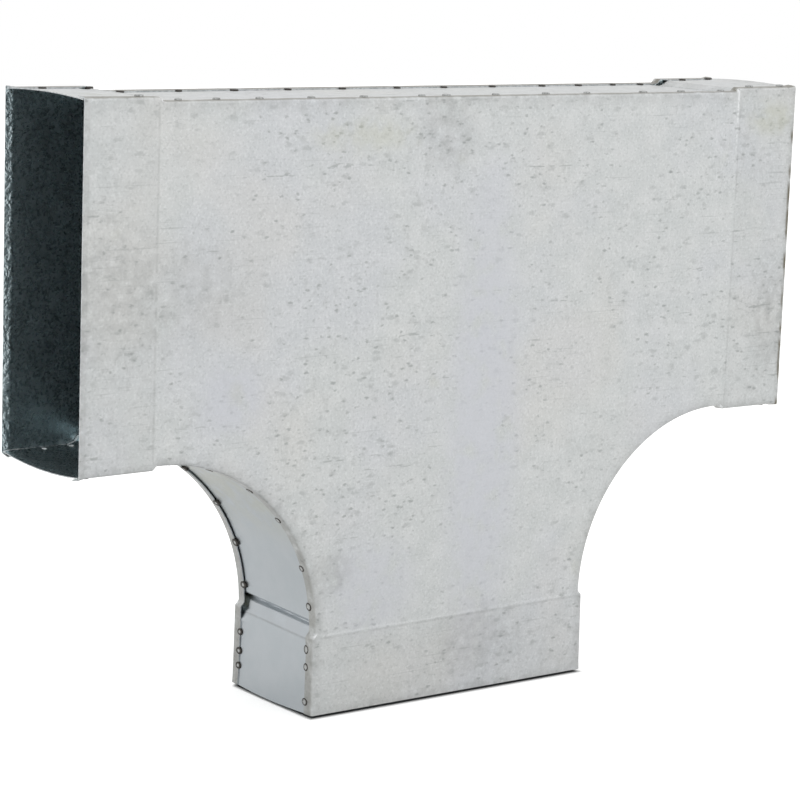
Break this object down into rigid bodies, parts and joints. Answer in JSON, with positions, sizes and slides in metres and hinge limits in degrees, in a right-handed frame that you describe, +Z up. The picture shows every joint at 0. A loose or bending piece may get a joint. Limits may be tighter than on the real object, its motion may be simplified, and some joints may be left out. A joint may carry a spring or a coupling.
{
  "type": "swept duct tee",
  "caption": "Swept equal tee for flat rectangular air duct, folded and spot-welded from galvanised sheet, with a joggled socket at each mouth for a plain duct to push into.",
  "frame": {"origin": "centre of the branch mouth, in the plane of its rim, on which the tee stands", "axes": "+X along the straight run, +Y through the depth from the front cheek to the rear cheek, +Z up from the branch mouth to the heel"},
  "size_m": [0.574, 0.0934, 0.3983],
  "materials": {
    "galvanised_sheet": "hot-dip galvanised, matt, fine spangle"
  },
  "bodies": {
    "root": {"front_cheek": "galvanised_sheet", "rear_cheek": "galvanised_sheet", "heel_strip": "galvanised_sheet", "left_throat_strip": "galvanised_sheet", "right_throat_strip": "galvanised_sheet"}
  },
  "joints": []
}
